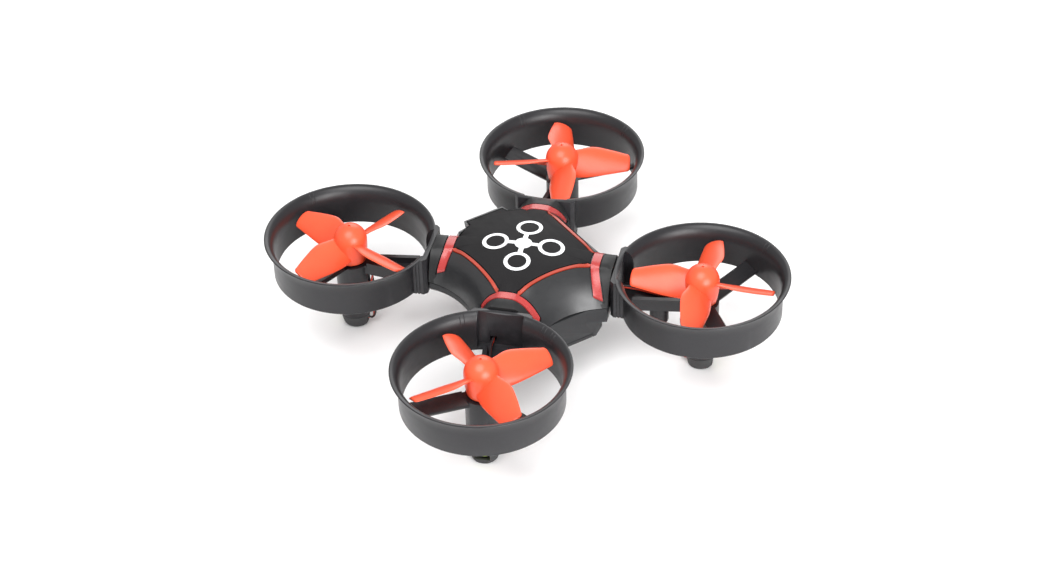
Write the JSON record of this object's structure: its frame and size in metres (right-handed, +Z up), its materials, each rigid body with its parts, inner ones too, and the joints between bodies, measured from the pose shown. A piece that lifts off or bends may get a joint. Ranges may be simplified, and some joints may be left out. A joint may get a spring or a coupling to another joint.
{
  "type": "mini palm drone",
  "caption": "Palm-sized ducted quadcopter with an X-shaped body, red trim, orange propellers that spin in round guards, motor pods as feet, a sliding battery hatch and a power switch.",
  "frame": {"origin": "on the floor, under the middle of the body, at the centre of the bounding box's bottom", "axes": "+Z up along the rotor axes, +Y towards the nose, +X to the right"},
  "size_m": [0.0942, 0.0942, 0.0275],
  "materials": {
    "shell_black": "satin black moulding",
    "duct_black": "satin black moulding",
    "deck_matte": "matte black sheet",
    "accent_red": "satin red moulding",
    "prop_orange": "satin orange moulding",
    "steel": "bright steel",
    "cap_lime": "lime end cap",
    "rubber": "matte black",
    "lead_red": "red wire insulation",
    "board_green": "green board with solder mask",
    "chip_black": "matte black resin",
    "led_clear": "clear lens",
    "cell_silver": "foil pouch",
    "nylon_white": "natural nylon"
  },
  "bodies": {
    "airframe": {"upper_shell": "shell_black", "lower_shell": "shell_black", "top_panel": "deck_matte", "accent_frame": "accent_red", "power_switch_body": "steel", "flight_board": "board_green", "mcu_chip": "chip_black", "radio_chip": "chip_black", "gyro_chip": "chip_black", "motor_driver_chip": "chip_black", "crystal_can": "steel", "aerial_wire": "chip_black", "battery": "cell_silver", "battery_socket": "nylon_white", "battery_plug": "nylon_white", "battery_lead_red": "lead_red", "battery_lead_black": "chip_black", "led_front_left": "led_clear", "duct_front_left": "duct_black", "motor_can_front_left": "steel", "motor_end_cap_front_left": "cap_lime", "foot_front_left": "rubber", "motor_lead_front_left": "lead_red", "arm_screw_front_left": "steel", "led_front_right": "led_clear", "duct_front_right": "duct_black", "motor_can_front_right": "steel", "motor_end_cap_front_right": "cap_lime", "foot_front_right": "rubber", "motor_lead_front_right": "lead_red", "arm_screw_front_right": "steel", "led_rear_left": "led_clear", "duct_rear_left": "duct_black", "motor_can_rear_left": "steel", "motor_end_cap_rear_left": "cap_lime", "foot_rear_left": "rubber", "motor_lead_rear_left": "lead_red", "arm_screw_rear_left": "steel", "led_rear_right": "led_clear", "duct_rear_right": "duct_black", "motor_can_rear_right": "steel", "motor_end_cap_rear_right": "cap_lime", "foot_rear_right": "rubber", "motor_lead_rear_right": "lead_red", "arm_screw_rear_right": "steel"},
    "rotor_front_left": {"propeller_front_left": "prop_orange", "motor_shaft_front_left": "steel"},
    "rotor_front_right": {"propeller_front_right": "prop_orange", "motor_shaft_front_right": "steel"},
    "rotor_rear_left": {"propeller_rear_left": "prop_orange", "motor_shaft_rear_left": "steel"},
    "rotor_rear_right": {"propeller_rear_right": "prop_orange", "motor_shaft_rear_right": "steel"},
    "power_knob": {"power_switch_knob": "nylon_white"},
    "hatch": {"battery_hatch": "shell_black"}
  },
  "joints": [
    {"name": "rotor_front_left_spin", "type": "hinge", "parent": "airframe", "child": "rotor_front_left", "pos_m": [-0.028, 0.028, 0.0216], "axis": [0, 0, 1], "continuous": true},
    {"name": "rotor_front_right_spin", "type": "hinge", "parent": "airframe", "child": "rotor_front_right", "pos_m": [0.028, 0.028, 0.0216], "axis": [0, 0, 1], "continuous": true},
    {"name": "rotor_rear_left_spin", "type": "hinge", "parent": "airframe", "child": "rotor_rear_left", "pos_m": [-0.028, -0.028, 0.0216], "axis": [0, 0, 1], "continuous": true},
    {"name": "rotor_rear_right_spin", "type": "hinge", "parent": "airframe", "child": "rotor_rear_right", "pos_m": [0.028, -0.028, 0.0216], "axis": [0, 0, 1], "continuous": true},
    {"name": "power_switch_slide", "type": "slide", "parent": "airframe", "child": "power_knob", "axis": [1, 0, 0], "range_m": [0, 0.0026]},
    {"name": "battery_hatch_slide", "type": "slide", "parent": "airframe", "child": "hatch", "axis": [0, -1, 0], "range_m": [0, 0.0285]}
  ]
}
